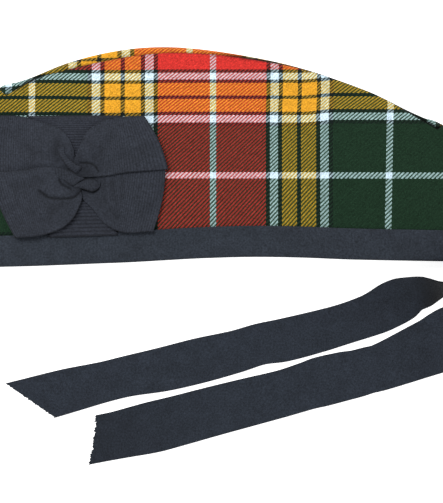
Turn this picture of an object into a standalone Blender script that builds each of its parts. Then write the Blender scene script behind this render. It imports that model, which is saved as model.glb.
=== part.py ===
# A folding tartan cap with a bound rim, a ribbon cockade and two ribbon tails.
# It lies on its right side, front towards -X, ridge towards +Y, and rests on z = 0.
# The origin is the middle of the underside of the resting side panel.

import bpy
import bmesh
import math
from collections import namedtuple
from mathutils import Vector

# Driving dimensions, in metres

cap_length = 0.291            # front seam to back seam
crown_height = 0.1248         # rim line to the highest point of the ridge
rim_opening = 0.030           # height of the rim's mouth as the cap lies
ridge_height = 0.017          # height of the upper ridge above the table
side_bulge = 0.004            # how far the upper panel domes
seam_height = 0.0045          # height of the front and back seams above the table
valley_depth = 0.036          # fold of the top piece, measured from the ridge
valley_gap = 0.0016           # width of the fold at its bottom
ridge_roll = 0.003            # how far the cloth rolls over the upper ridge
ridge_offset = 0.003          # the lower ridge stays this far inside the upper one
seam_sliver = 0.0048          # widest strip of the top piece on the visible side
panel_wall = 0.0018           # cloth of the side panels, with its stiffening
top_wall = 0.0010             # cloth of the top piece
gap = 0.0003                  # clearance between neighbouring pieces
seam_gap = 0.0009             # clearance on the outer face of a curved seam
band_width = 0.0174           # height of the rim binding
band_wall = 0.001             # thickness of the rim binding
cockade_inset = 0.0078        # front seam to the cockade's front edge
cockade_length = 0.1056       # cockade, along the cap
cockade_height = 0.0735       # cockade, across the cap
cockade_rise = 0.0345         # cockade's lower edge to the middle of its knot
cockade_seat = 0.0118         # rim line to the cockade's lower edge
cockade_wall = 0.0011         # ribbon of the cockade
cockade_loft = 0.0022         # how far the bows puff up
knot_length = 0.0180          # knot, along the cap
knot_height = 0.0215          # knot, across the cap
knot_rise = 0.0030            # how far the knot stands over the bows
ribbon_width = 0.0285         # ribbon of the tails
ribbon_wall = 0.001           # thickness of the tails

# Shares of the sizes above

rest_share = 0.481            # part of the crown's height that lies below the origin
ridge_slope = math.radians(70.0)
upper_roll_share = 0.24       # upper roll's radius, as a share of the ridge's height
lower_roll_share = 0.215
end_lens = 2.2                # exponents of the lens shape seen from the rim
end_round = 0.8
rest_round = 30.0             # the resting panel stays flat almost to its ends
end_clearance = 1.8           # clearance at the rounded end corners, in gaps
end_gaps = 4.0                # room in the crown's closed ends, in gaps
end_crowding = 0.7            # how much closer the mesh columns lie at the ends

# Places of the crown's section: 0 to 1 the upper panel, then its roll, the valley's
# two walls round the fold, the lower roll, and 5 to 6 the resting panel

upper_roll_end = 2.0
fold_start = 2.7
fold_middle = 3.0
fold_end = 3.3
lower_roll_start = 4.0
rest_start = 5.0
section_end = 6.0

# Mesh counts

columns = 40
panel_rows = 11
rest_rows = 9
top_rows = 20
top_row_shares = (0.0, 0.29, 0.40, 0.60, 0.71, 1.0)
top_place_shares = (0.0, 0.25, 0.42, 0.58, 0.75, 1.0)
rest_turn = 0.05              # the resting panel is flat from here
rest_flat = 0.4               # a row in the middle of its flat
row_third = 0.35              # rows in its turned edge and in the rim's lift
row_two_thirds = 0.7
band_rows = 2
top_first = 4                 # the top piece starts at this column from either end
seam_opens = (0, 3)           # columns past it over which the seams spread apart
valley_opens = (1, 8)         # columns past it over which the valley opens
tail_columns = 40
tail_rows = 2
bow_columns = 20
bow_rows = 5

# Crown stations, front to back: along is a share of cap_length, ridge and rim are
# shares of crown_height above the rim line, sliver is a share of seam_sliver.

Station = namedtuple("Station", "along ridge rim sliver")
crown_stations = (
    Station(0.000, 0.715, -0.050, 0.40),
    Station(0.045, 0.808, -0.047, 0.62),
    Station(0.111, 0.869, -0.043, 0.20),
    Station(0.169, 0.913, -0.038, 0.75),
    Station(0.243, 0.9615, -0.031, 1.00),
    Station(0.318, 0.992, -0.024, 0.93),
    Station(0.392, 1.000, -0.014, 0.74),
    Station(0.466, 0.9875, -0.005, 0.51),
    Station(0.565, 0.952, 0.001, 0.20),
    Station(0.664, 0.900, -0.002, 0.12),
    Station(0.763, 0.8255, -0.011, 0.12),
    Station(0.862, 0.734, -0.016, 0.12),
    Station(0.959, 0.627, -0.020, 0.35),
    Station(1.000, 0.560, -0.021, 0.20),
)

# Tails, from the cut end to the back of the rim: along is a share of cap_length from
# the origin, below is measured from the rim line in ribbon widths, width is a share of
# ribbon_width, and tilt turns the ribbon from flat (0) to standing on its edge (90).

Bend = namedtuple("Bend", "along below width tilt")
tail_upper_bends = (
    Bend(-0.3933, 3.052, 0.950, 0.0),
    Bend(-0.3144, 2.843, 0.921, 0.0),
    Bend(-0.2402, 2.658, 0.844, 0.0),
    Bend(-0.1907, 2.536, 0.848, 0.0),
    Bend(-0.1165, 2.389, 0.918, 0.0),
    Bend(-0.0423, 2.206, 0.938, 0.0),
    Bend(0.0320, 2.019, 0.884, 0.0),
    Bend(0.0814, 1.865, 0.864, 0.0),
    Bend(0.1309, 1.776, 0.898, 0.0),
    Bend(0.2052, 1.586, 0.870, 0.0),
    Bend(0.2546, 1.439, 0.844, 0.0),
    Bend(0.3041, 1.245, 0.869, 0.0),
    Bend(0.3289, 1.130, 0.928, 2.0),
    Bend(0.3536, 1.020, 0.972, 8.0),
    Bend(0.3784, 0.939, 0.975, 20.0),
    Bend(0.4031, 0.855, 0.980, 38.0),
    Bend(0.4278, 0.789, 0.980, 53.0),
    Bend(0.4526, 0.731, 0.980, 70.0),
    Bend(0.4820, 0.620, 0.980, 84.0),
    Bend(0.4960, 0.450, 0.980, 90.0),
    Bend(0.5000, 0.220, 0.980, 90.0),
    Bend(0.5000, -0.100, 0.980, 90.0),
)
tail_lower_bends = (
    Bend(-0.2660, 3.886, 0.980, 0.0),
    Bend(-0.2155, 3.783, 0.992, 0.0),
    Bend(-0.1412, 3.616, 1.066, 0.0),
    Bend(-0.0918, 3.489, 1.053, 0.0),
    Bend(-0.0175, 3.284, 1.032, 0.0),
    Bend(0.0567, 3.088, 1.008, 0.0),
    Bend(0.1309, 2.895, 0.978, 0.0),
    Bend(0.1804, 2.738, 1.000, 0.0),
    Bend(0.2052, 2.662, 1.039, 0.0),
    Bend(0.2546, 2.539, 1.020, 0.0),
    Bend(0.2794, 2.488, 0.988, 0.0),
    Bend(0.3041, 2.416, 0.970, 0.0),
    Bend(0.3289, 2.335, 0.972, 0.0),
    Bend(0.3784, 2.128, 1.065, 0.0),
    Bend(0.4278, 1.902, 1.177, 0.0),
    Bend(0.4526, 1.780, 1.239, 2.0),
    Bend(0.4800, 1.620, 1.220, 14.0),
    Bend(0.5130, 1.360, 1.110, 38.0),
    Bend(0.5450, 0.960, 1.000, 66.0),
    Bend(0.5460, 0.560, 0.980, 80.0),
    Bend(0.5190, 0.230, 0.980, 87.0),
    Bend(0.5010, 0.040, 0.980, 90.0),
    Bend(0.5000, -0.140, 0.980, 90.0),
)
cut_slant_upper = -0.893      # how far the cut runs back, as a share of the width
cut_slant_lower = 0.40
cut_reach = 12.0              # the cut's slant fades over one such part of the length
seat_upper = band_wall + gap * 2.4            # tails sewn one over the other on the
seat_lower = seat_upper + ribbon_wall + gap   # binding, behind the back seam

# Cockade ribbons: both edges from one end to the other, along as a share of
# cockade_length from its front edge, up as a share of cockade_height from its lower edge.

Fold = namedtuple("Fold", "high_along high_up low_along low_up")
front_bow_folds = (
    Fold(0.000, 0.518, 0.148, -0.021),
    Fold(0.153, 0.526, 0.250, -0.010),
    Fold(0.278, 0.556, 0.350, 0.022),
    Fold(0.358, 0.560, 0.420, 0.072),
    Fold(0.420, 0.546, 0.465, 0.130),
    Fold(0.452, 0.534, 0.500, 0.220),
    Fold(0.470, 0.550, 0.520, 0.310),
    Fold(0.478, 0.620, 0.508, 0.430),
    Fold(0.506, 0.722, 0.520, 0.468),
    Fold(0.550, 0.845, 0.580, 0.473),
    Fold(0.636, 0.930, 0.659, 0.482),
    Fold(0.740, 0.962, 0.790, 0.512),
    Fold(0.864, 0.972, 1.000, 0.534),
)
rear_bow_folds = (
    Fold(0.034, 0.980, 0.000, 0.470),
    Fold(0.165, 0.970, 0.165, 0.430),
    Fold(0.290, 0.925, 0.290, 0.425),
    Fold(0.392, 0.869, 0.380, 0.430),
    Fold(0.445, 0.790, 0.440, 0.440),
    Fold(0.474, 0.690, 0.480, 0.440),
    Fold(0.480, 0.610, 0.505, 0.400),
    Fold(0.530, 0.570, 0.523, 0.300),
    Fold(0.600, 0.570, 0.585, 0.205),
    Fold(0.690, 0.590, 0.655, 0.085),
    Fold(0.818, 0.600, 0.760, 0.022),
    Fold(0.985, 0.590, 0.915, 0.030),
)
back_loop_folds = (
    Fold(0.330, -0.008, 0.722, 0.010),
    Fold(0.403, 0.225, 0.642, 0.225),
    Fold(0.450, 0.390, 0.562, 0.390),
    Fold(0.450, 0.540, 0.540, 0.540),
    Fold(0.426, 0.680, 0.562, 0.680),
    Fold(0.347, 0.845, 0.620, 0.845),
    Fold(0.240, 0.965, 0.700, 0.965),
)


def clamp(value, low, high):
    return max(low, min(high, value))


def mix(a, b, amount):
    return a + (b - a) * amount


def ease(value, start, end):
    amount = clamp((value - start) / (end - start), 0.0, 1.0)
    return amount * amount * (3.0 - 2.0 * amount)


def smooth_curve(knots, values, at):
    """A smooth curve through the values at rising knots, held level past the ends."""
    at = clamp(at, knots[0], knots[-1])
    i = 0
    while i < len(knots) - 2 and at > knots[i + 1]:
        i += 1
    span = knots[i + 1] - knots[i]
    amount = (at - knots[i]) / span

    def slope(k):
        before = max(k - 1, 0)
        after = min(k + 1, len(knots) - 1)
        return (values[after] - values[before]) / (knots[after] - knots[before])

    a2 = amount * amount
    a3 = a2 * amount
    return (values[i] * (2 * a3 - 3 * a2 + 1) + slope(i) * span * (a3 - 2 * a2 + amount)
            + values[i + 1] * (3 * a2 - 2 * a3) + slope(i + 1) * span * (a3 - a2))


def station_value(column, along):
    knots = [station.along for station in crown_stations]
    values = [getattr(station, column) for station in crown_stations]
    return smooth_curve(knots, values, along)


# Crown shape

rim_line = -rest_share * crown_height
end_half = panel_wall + gap * end_gaps


def along_x(along):
    return (along - 0.5) * cap_length


def rim_y(along):
    return rim_line + crown_height * station_value("rim", along)


def ridge_y(along):
    return rim_line + crown_height * station_value("ridge", along)


def lens(along):
    return max(1.0 - abs(2.0 * along - 1.0) ** end_lens, 0.0) ** end_round


def rest_lens(along):
    return max(1.0 - abs(2.0 * along - 1.0) ** rest_round, 0.0) ** 0.5


def upper_height(along, up):
    """Outer height of the upper panel; up runs from the rim (0) to the ridge (1)."""
    full = rim_opening + side_bulge * math.sin(math.pi * up) - (rim_opening - ridge_height) * up * up
    low = seam_height + end_half
    return low + (full - low) * lens(along)


def lower_height(along, y=None):
    """Outer height of the resting panel, lifted near the rim by the binding under it."""
    lift = 0.0
    if y is not None:
        over = y - rim_y(along) - band_width
        lift = (band_wall + gap * 2.0) * (1.0 - ease(over, band_width * 0.1, band_width))
    low = seam_height - end_half
    return max(mix(low, 0.0, rest_lens(along)), lift)


def folded_point(along, place):
    """Section of the folded crown: place 0 to 1 is the upper panel, 1 to 5 the top
    piece with its two rolls and the valley between them, 5 to 6 the resting panel."""
    top = upper_height(along, 1.0)
    low = lower_height(along)
    height = top - low
    out = ridge_y(along)
    roll_z = upper_roll_share * height
    roll_y = out - ridge_roll
    start = roll_y + ridge_roll * math.cos(ridge_slope)
    roll_mid = top - roll_z * math.sin(ridge_slope)
    low_out = out - ridge_offset
    low_roll_z = lower_roll_share * height
    low_roll_y = low_out - ridge_roll
    if place <= 1.0:
        return mix(rim_y(along), start, place), upper_height(along, place)
    if place <= upper_roll_end:
        turn = mix(ridge_slope, -ridge_slope, place - 1.0)
        return roll_y + ridge_roll * math.cos(turn), roll_mid + roll_z * math.sin(turn)
    mouth_top = roll_mid - roll_z * math.sin(ridge_slope)
    mouth_low = low + low_roll_z * (1.0 + math.sin(ridge_slope))
    depth = valley_depth * lens(along)
    half = min(valley_gap * 0.5, (mouth_top - mouth_low) * 0.4)
    fold_z = (mouth_top + mouth_low) * 0.5
    fold_y = out - depth
    if place < fold_start:
        amount = (place - upper_roll_end) / (fold_start - upper_roll_end)
        return mix(start, fold_y, amount), mix(mouth_top, fold_z + half, amount)
    if place <= fold_end:
        turn = math.pi * (place - fold_start) / (fold_end - fold_start)
        return fold_y - half * math.sin(turn), fold_z + half * math.cos(turn)
    low_start = low_roll_y + ridge_roll * math.cos(ridge_slope)
    if place < lower_roll_start:
        amount = (place - fold_end) / (lower_roll_start - fold_end)
        return mix(fold_y, low_start, amount), mix(fold_z - half, mouth_low, amount)
    if place <= rest_start:
        turn = mix(ridge_slope, -math.pi / 2.0, place - lower_roll_start)
        return (low_roll_y + ridge_roll * math.cos(turn),
                low + low_roll_z * (1.0 + math.sin(turn)))
    y = mix(low_roll_y, rim_y(along), place - rest_start)
    return y, lower_height(along, y=y)


def closed_point(along, place):
    """Section of the crown's closed ends, where no valley is left between the ridges."""
    top = upper_height(along, 1.0)
    low = lower_height(along)
    half = (top - low) * 0.5
    middle = ridge_y(along) - half
    if place <= 1.0:
        return mix(rim_y(along), middle, place), upper_height(along, place)
    if place <= rest_start:
        turn = mix(math.pi / 2.0, -math.pi / 2.0, (place - 1.0) / (rest_start - 1.0))
        return middle + half * math.cos(turn), low + half * (1.0 + math.sin(turn))
    y = mix(middle, rim_y(along), place - rest_start)
    return y, lower_height(along, y=y)


def openness(along, start, end):
    """0 at the closed ends of the crown, 1 past a number of mesh columns from them."""
    from_end = min(along, 1.0 - along)
    return ease(from_end, column_along(top_first + start), column_along(top_first + end))


def crown_point(along, place):
    y1, z1 = closed_point(along, place)
    y2, z2 = folded_point(along, place)
    share = openness(along, *valley_opens)
    return Vector((along_x(along), mix(y1, y2, share), mix(z1, z2, share)))


def column_along(column):
    """Stations of the mesh, closer together at both ends."""
    even = column / columns
    return even - end_crowding * math.sin(2.0 * math.pi * even) / (2.0 * math.pi)


def upper_seam(along):
    """Place of the seam between the upper panel and the top piece."""
    sliver = seam_sliver * station_value("sliver", along)
    on_panel = ridge_roll * (1.0 - math.cos(ridge_slope))
    if sliver >= on_panel:
        length = ridge_y(along) - on_panel - rim_y(along)
        seam = 1.0 - (sliver - on_panel) / length
    else:
        turn = math.acos(1.0 - sliver / ridge_roll)
        seam = 1.0 + (ridge_slope - turn) / (2.0 * ridge_slope)
    return mix(fold_start, seam, openness(along, *seam_opens))


def lower_seam(along):
    return mix(fold_end, rest_start, openness(along, *seam_opens))


def step(along, place, distance):
    """Change of place that moves a point by a distance along the section."""
    small = 0.001
    speed = (crown_point(along, place + small) - crown_point(along, place - small)).length
    return distance * 2.0 * small / max(speed, 1e-9)


def side_limit(along, seam, side):
    """Edge of a side panel: at the seam, or at the crown's own end past the top piece."""
    first = column_along(top_first) - 1e-6
    inside = first <= along <= 1.0 - first
    place = seam if inside else fold_middle
    clear = seam_gap * 0.5 if inside else gap * end_clearance
    return place + side * step(along, place, clear)


# Building helpers

def material(name, colour, roughness):
    made = bpy.data.materials.new(name)
    made.use_nodes = True
    shader = made.node_tree.nodes["Principled BSDF"]
    shader.inputs["Base Color"].default_value = (*colour, 1.0)
    shader.inputs["Roughness"].default_value = roughness
    shader.inputs["Metallic"].default_value = 0.0
    made.diffuse_color = (*colour, 1.0)
    return made


def sheet(name, across, along, place_point, finish, ring=False):
    """A grid whose corners a function puts in place; its first side runs across."""
    mesh = bpy.data.meshes.new(name)
    bm = bmesh.new()
    bmesh.ops.create_grid(bm, x_segments=along, y_segments=across, size=0.5)
    for vertex in bm.verts:
        u = vertex.co.x + 0.5
        v = vertex.co.y + 0.5
        vertex.co = place_point(u, v)
    if ring:
        bmesh.ops.remove_doubles(bm, verts=bm.verts, dist=0.00001)
    bm.to_mesh(mesh)
    bm.free()
    mesh.materials.append(finish)
    made = bpy.data.objects.new(name, mesh)
    parts.objects.link(made)
    mesh.shade_smooth()
    return made


def thicken(made, thickness, side):
    """Gives a sheet its wall, on the side of its normals (1) or behind them (-1)."""
    wall = made.modifiers.new("wall", "SOLIDIFY")
    wall.thickness = thickness
    wall.offset = side
    wall.use_even_offset = True
    wall.use_rim = True
    return made


# Pieces

def build_crown_left():
    def point(u, v):
        along = column_along(u * columns)
        return crown_point(along, v * side_limit(along, upper_seam(along), -1.0))
    return thicken(sheet("crown_left", panel_rows, columns, point, tartan), panel_wall, -1.0)


def rest_place(along, v):
    """Rows of the resting panel: the turned end corner, the flat, then the rim's lift."""
    edge = side_limit(along, lower_seam(along), 1.0)
    band = band_width / (ridge_y(along) - rim_y(along))
    band_top = section_end - band
    band_over = section_end - 2.0 * band
    flat_start = rest_start + rest_turn
    flat_middle = rest_start + rest_flat
    places = (edge, mix(edge, flat_start, row_third), mix(edge, flat_start, row_two_thirds),
              flat_start, flat_middle, band_over, mix(band_over, band_top, row_third),
              mix(band_over, band_top, row_two_thirds), band_top, section_end)
    return places[round(v * rest_rows)]


def build_crown_right():
    def point(u, v):
        along = column_along(u * columns)
        return crown_point(along, rest_place(along, v))
    return thicken(sheet("crown_right", rest_rows, columns, point, tartan_rest), panel_wall, -1.0)


def top_place(v):
    """Rows of the top piece, closer together on the two rolls and in the fold."""
    return smooth_curve(top_row_shares, top_place_shares, v)


def build_crown_top():
    def point(u, v):
        along = column_along(mix(top_first, columns - top_first, u))
        start = upper_seam(along)
        end = lower_seam(along)
        start += step(along, start, seam_gap * 0.5)
        end -= step(along, end, seam_gap * 0.5)
        return crown_point(along, mix(start, end, top_place(v)))
    rows = columns - 2 * top_first
    return thicken(sheet("crown_top", top_rows, rows, point, tartan_top), top_wall, -1.0)


def rim_ring(height, offset):
    """Closed ring round the rim's outer face, at a height above its edge."""
    ring = []
    for i in range(columns + 1):
        along = column_along(i)
        up = max(height, 0.0) / (ridge_y(along) - rim_y(along))
        ring.append(Vector((along_x(along), rim_y(along) + height, upper_height(along, up))))
    for i in range(columns, -1, -1):
        along = column_along(i)
        y = rim_y(along) + max(height, 0.0)
        ring.append(Vector((along_x(along), rim_y(along) + height, lower_height(along, y=y))))
    moved = []
    for i, here in enumerate(ring):
        before = ring[i - 1]
        after = ring[(i + 1) % len(ring)]
        first = Vector((here.x - before.x, 0.0, here.z - before.z)).normalized()
        second = Vector((after.x - here.x, 0.0, after.z - here.z)).normalized()
        normal_1 = Vector((-first.z, 0.0, first.x))
        normal_2 = Vector((-second.z, 0.0, second.x))
        bisector = (normal_1 + normal_2).normalized()
        moved.append(here + bisector * (offset / max(bisector.dot(normal_1), 0.5)))
    return moved


def build_rim_band():
    rings = [rim_ring(mix(-gap, band_width, row / band_rows), gap) for row in range(band_rows + 1)]
    rings.insert(0, rim_ring(-gap, gap * 2.0 - panel_wall))
    count = len(rings[0])

    def point(u, v):
        return rings[round(v * (len(rings) - 1))][round(u * count) % count]
    band = sheet("rim_band", len(rings) - 1, count, point, band_cloth, ring=True)
    return thicken(band, band_wall, 1.0)


def tail_frame(bends, amount, seat):
    """Middle, width direction and tilt of a tail at a share of its length."""
    knots = [0.0]
    for first, second in zip(bends, bends[1:]):
        run = Vector(((second.along - first.along) * cap_length,
                      (second.below - first.below) * ribbon_width))
        knots.append(knots[-1] + run.length)
    at = amount * knots[-1]

    def value(column, where):
        return smooth_curve(knots, [getattr(bend, column) for bend in bends], where)

    def middle(where):
        along = value("along", where)
        return Vector((along * cap_length + seat * ease(along, 0.4, 0.5),
                       rim_line - value("below", where) * ribbon_width, 0.0))
    near = 0.0005
    before = middle(max(at - near, 0.0))
    after = middle(min(at + near, knots[-1]))
    heading = (after - before).normalized()
    side = Vector((-heading.y, heading.x, 0.0))
    return middle(at), heading, side, value("width", at) * ribbon_width, value("tilt", at)


def build_tail(name, bends, slant, seat):
    def point(u, v):
        middle, heading, side, width, tilt = tail_frame(bends, u, seat)
        lean = math.radians(clamp(tilt, 0.0, 90.0))
        across = (v - 0.5) * width
        raised = v * width * math.sin(lean)
        back = slant * width * (v - 0.5) * max(1.0 - u * cut_reach, 0.0)
        return middle + heading * back + side * across * math.cos(lean) + Vector((0.0, 0.0, raised))
    made = sheet(name, tail_rows, tail_columns, point, tail_cloth)
    return thicken(made, ribbon_wall, 1.0)


def cap_surface(x, y):
    """Outer height of the upper panel, or of the binding on it, over a point."""
    along = clamp(x / cap_length + 0.5, 0.0, 1.0)
    edge = rim_y(along)
    up = clamp((y - edge) / (ridge_y(along) - edge), 0.0, 1.0)
    over_band = 1.0 - ease(y - edge - band_width, gap, band_width * 0.5)
    return upper_height(along, up) + (band_wall + gap) * over_band


def cockade_place(along, up):
    front = -cap_length / 2.0 + cockade_inset
    return front + along * cockade_length, rim_line + cockade_seat + up * cockade_height


def build_bow(name, folds, layer):
    knots = list(range(len(folds)))

    def point(u, v):
        at = u * knots[-1]
        high = [smooth_curve(knots, [getattr(fold, column) for fold in folds], at)
                for column in ("high_along", "high_up")]
        low = [smooth_curve(knots, [getattr(fold, column) for fold in folds], at)
               for column in ("low_along", "low_up")]
        x, y = cockade_place(mix(low[0], high[0], v), mix(low[1], high[1], v))
        return Vector((x, y, cap_surface(x, y) + bow_height(x, y, layer)))
    made = sheet(name, bow_rows, bow_columns, point, cockade_cloth)
    return thicken(made, cockade_wall, 1.0)


def bow_height(x, y, layer):
    """Height of a cockade layer over the cap, puffed up between knot and ends."""
    middle_x, middle_y = cockade_place(0.5, cockade_rise / cockade_height)
    away = math.hypot((x - middle_x) / (cockade_length / 2.0), (y - middle_y) / (cockade_height / 2.0))
    puff = cockade_loft * math.sin(math.pi * clamp(away, 0.0, 1.0))
    return puff + gap + layer * (cockade_wall + 2.0 * gap)


def build_knot():
    mesh = bpy.data.meshes.new("cockade_knot")
    bm = bmesh.new()
    bmesh.ops.create_uvsphere(bm, u_segments=16, v_segments=8, radius=1.0)
    middle_x, middle_y = cockade_place(0.5, cockade_rise / cockade_height)
    for vertex in bm.verts:
        x = middle_x + vertex.co.x * knot_length / 2.0
        y = middle_y + vertex.co.y * knot_height / 2.0
        seat = cap_surface(x, y) + bow_height(x, y, 3.0)
        rise = mix(0.12, 1.0, clamp(vertex.co.z, 0.0, 1.0)) if vertex.co.z > -0.01 else 0.0
        vertex.co = Vector((x, y, seat + knot_rise * rise))
    bm.to_mesh(mesh)
    bm.free()
    mesh.materials.append(cockade_cloth)
    made = bpy.data.objects.new("cockade_knot", mesh)
    parts.objects.link(made)
    mesh.shade_smooth()
    return made


# The model

for old in list(bpy.data.objects):
    bpy.data.objects.remove(old, do_unlink=True)

parts = bpy.data.collections.new("tartan_cap")
bpy.context.scene.collection.children.link(parts)

tartan = material("tartan_side", (0.20, 0.05, 0.03), 0.9)
tartan_rest = material("tartan_resting_side", (0.05, 0.08, 0.04), 0.9)
tartan_top = material("tartan_top", (0.62, 0.30, 0.05), 0.9)
band_cloth = material("binding_black", (0.030, 0.034, 0.043), 0.85)
cockade_cloth = material("cockade_black", (0.040, 0.043, 0.058), 0.8)
tail_cloth = material("ribbon_black", (0.028, 0.035, 0.048), 0.8)

build_crown_left()
build_crown_right()
build_crown_top()
build_rim_band()
build_bow("cockade_back_loop", back_loop_folds, 0.0)
build_bow("cockade_rear_bow", rear_bow_folds, 1.0)
build_bow("cockade_front_bow", front_bow_folds, 2.0)
build_knot()
build_tail("tail_upper", tail_upper_bends, cut_slant_upper, seat_upper)
build_tail("tail_lower", tail_lower_bends, cut_slant_lower, seat_lower)
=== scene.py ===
# Looks of a folding tartan cap: wool crown, grosgrain binding, ribbon cockade and tails.
# It lies on its right side, front towards -X, ridge towards +Y, and rests on z = 0.

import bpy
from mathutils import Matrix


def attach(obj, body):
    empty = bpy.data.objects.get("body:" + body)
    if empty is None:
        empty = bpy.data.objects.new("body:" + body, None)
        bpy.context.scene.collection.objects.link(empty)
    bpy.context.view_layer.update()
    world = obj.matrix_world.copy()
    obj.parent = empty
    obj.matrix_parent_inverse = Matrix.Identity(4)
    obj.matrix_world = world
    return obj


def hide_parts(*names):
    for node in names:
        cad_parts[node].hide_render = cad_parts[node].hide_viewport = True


bl_info = {
    "name": "Folding Tartan Cap",
    "version": (1, 0, 0),
    "blender": (4, 5, 0),
    "location": "View3D > Sidebar > Tartan Cap",
    "description": "Dresses a folding tartan cap with its cloth, binding, cockade and ribbon tails",
    "category": "Add Mesh",
}

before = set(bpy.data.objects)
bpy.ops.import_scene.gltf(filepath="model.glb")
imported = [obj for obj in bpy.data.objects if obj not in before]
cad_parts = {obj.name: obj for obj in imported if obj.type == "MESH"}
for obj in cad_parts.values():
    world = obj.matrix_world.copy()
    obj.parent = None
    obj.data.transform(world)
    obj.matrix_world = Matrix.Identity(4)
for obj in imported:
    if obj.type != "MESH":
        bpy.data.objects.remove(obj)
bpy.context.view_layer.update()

import math
from collections import namedtuple
from functools import lru_cache

import bmesh
import bpy
from bpy.props import FloatProperty, FloatVectorProperty, IntProperty, PointerProperty
from mathutils import Vector, noise

# Stations of the crown from front to back: along is a share of the cap's length, ridge
# and rim are shares of its height above the rim line.

crown_stations = (
    (0.0, 0.715, -0.05), (0.045, 0.808, -0.047), (0.111, 0.869, -0.043),
    (0.169, 0.913, -0.038), (0.243, 0.9615, -0.031), (0.318, 0.992, -0.024),
    (0.392, 1.0, -0.014), (0.466, 0.9875, -0.005), (0.565, 0.952, 0.001),
    (0.664, 0.9, -0.002), (0.763, 0.8255, -0.011), (0.862, 0.734, -0.016),
    (0.959, 0.627, -0.02), (1.0, 0.56, -0.021),
)

# Strip of the top piece that shows over the upper ridge: the share of the length, and the
# strip's width as a share of seam_sliver.

ridge_slivers = (
    (0.0, 0.4), (0.045, 0.62), (0.07, 0.66), (0.103, 0.19), (0.128, 0.25), (0.169, 0.75),
    (0.221, 0.95), (0.272, 1.0), (0.305, 0.94), (0.353, 0.87), (0.386, 0.75), (0.437, 0.62),
    (0.487, 0.44), (0.54, 0.25), (0.602, 0.12), (0.664, 0.02), (0.93, 0.02), (0.962, 0.2),
    (1.0, 0.2),
)

# The tartan's stripes, from the middle of the green to the middle of the red: the thread
# at which each starts, and its colour. The sett turns back on itself at both ends.

sett_threads = 170.0
sett_stripes = (
    (0.0, "white"), (3.0, "green"), (52.0, "black"), (56.0, "white"), (64.0, "black"),
    (68.0, "yellow"), (82.5, "black"), (86.5, "yellow"), (101.0, "black"), (105.0, "white"),
    (113.0, "black"), (117.0, "red"), (167.0, "white"),
)

# Where the warp's threads lie along the side panel: x in metres, threads counted from
# the middle of the first green.

warp_marks = (
    (-0.1131, 0.0), (-0.07458, 60.0), (-0.04326, 109.0), (-0.00444, 170.0), (0.03258, 231.0),
    (0.06222, 280.0), (0.1017, 340.0),
)

# The same for the weft's threads in the middle of the side panel: y in metres.

weft_rows = (
    (-0.06, -73.0), (-0.01236, 0.0), (0.0215, 60.0), (0.0342, 84.5), (0.0436, 103.0),
    (0.0497, 115.0), (0.065, 145.0),
)

# Tails, from the cut end to the back of the rim: along is a share of the cap's length
# from the origin, below is measured from the rim line in ribbon widths, width is a share
# of the ribbon's width, tilt turns it from flat (0) to standing on its edge (90), and
# shade is painted shade that darkens it, most where it turns from the light.

Bend = namedtuple("Bend", "along below width tilt shade", defaults=(0.0,))
tail_upper_bends = [Bend(*row) for row in (
    (-0.3933, 3.07, 0.969, 0.0), (-0.3144, 2.861, 0.94, 0.0), (-0.2402, 2.676, 0.863, 0.0),
    (-0.1907, 2.554, 0.867, 0.0), (-0.1165, 2.407, 0.937, 0.0), (-0.0423, 2.224, 0.957, 0.0),
    (0.032, 2.037, 0.903, 0.0), (0.0814, 1.883, 0.883, 0.0), (0.1309, 1.794, 0.917, 0.0),
    (0.2052, 1.604, 0.889, 0.0, 0.04), (0.2546, 1.457, 0.863, 0.0, 0.08),
    (0.3041, 1.287, 0.889, 0.0, 0.14), (0.3289, 1.178, 0.933, 2.0, 0.16),
    (0.3536, 1.037, 0.975, 8.0, 0.18), (0.3784, 0.915, 0.979, 20.0, 0.2),
    (0.4031, 0.811, 0.938, 38.0, 0.24), (0.4278, 0.763, 0.99, 53.0, 0.6),
    (0.4526, 0.707, 0.955, 70.0, 0.72), (0.482, 0.61, 0.98, 84.0, 0.45),
    (0.496, 0.45, 0.98, 90.0), (0.5, 0.22, 0.98, 90.0), (0.5, -0.1, 0.98, 90.0),
)]
tail_lower_bends = [Bend(*row) for row in (
    (-0.266, 3.904, 0.999, 0.0, 0.24), (-0.2155, 3.801, 1.011, 0.0, 0.2),
    (-0.1412, 3.634, 1.085, 0.0, 0.12), (-0.0918, 3.507, 1.072, 0.0, 0.08),
    (-0.0175, 3.302, 1.051, 0.0), (0.0567, 3.106, 1.027, 0.0), (0.1309, 2.913, 0.997, 0.0),
    (0.1804, 2.756, 1.019, 0.0), (0.2052, 2.68, 1.058, 0.0), (0.2546, 2.557, 1.039, 0.0),
    (0.2794, 2.506, 1.007, 0.0), (0.3041, 2.434, 0.989, 0.0), (0.3289, 2.373, 0.992, 0.0),
    (0.3784, 2.175, 1.085, 0.0, 0.1), (0.4278, 1.956, 1.194, 0.0, 0.12),
    (0.4526, 1.822, 1.269, 2.0), (0.48, 1.62, 1.27, 14.0), (0.513, 1.36, 1.11, 38.0),
    (0.545, 0.96, 1.0, 66.0), (0.546, 0.56, 0.98, 80.0), (0.519, 0.23, 0.98, 87.0),
    (0.501, 0.04, 0.98, 90.0), (0.5, -0.14, 0.98, 90.0),
)]

# Cockade ribbons: both edges from one end to the other, along as a share of the
# cockade's length from its front, up as a share of its height from its lower edge.

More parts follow.
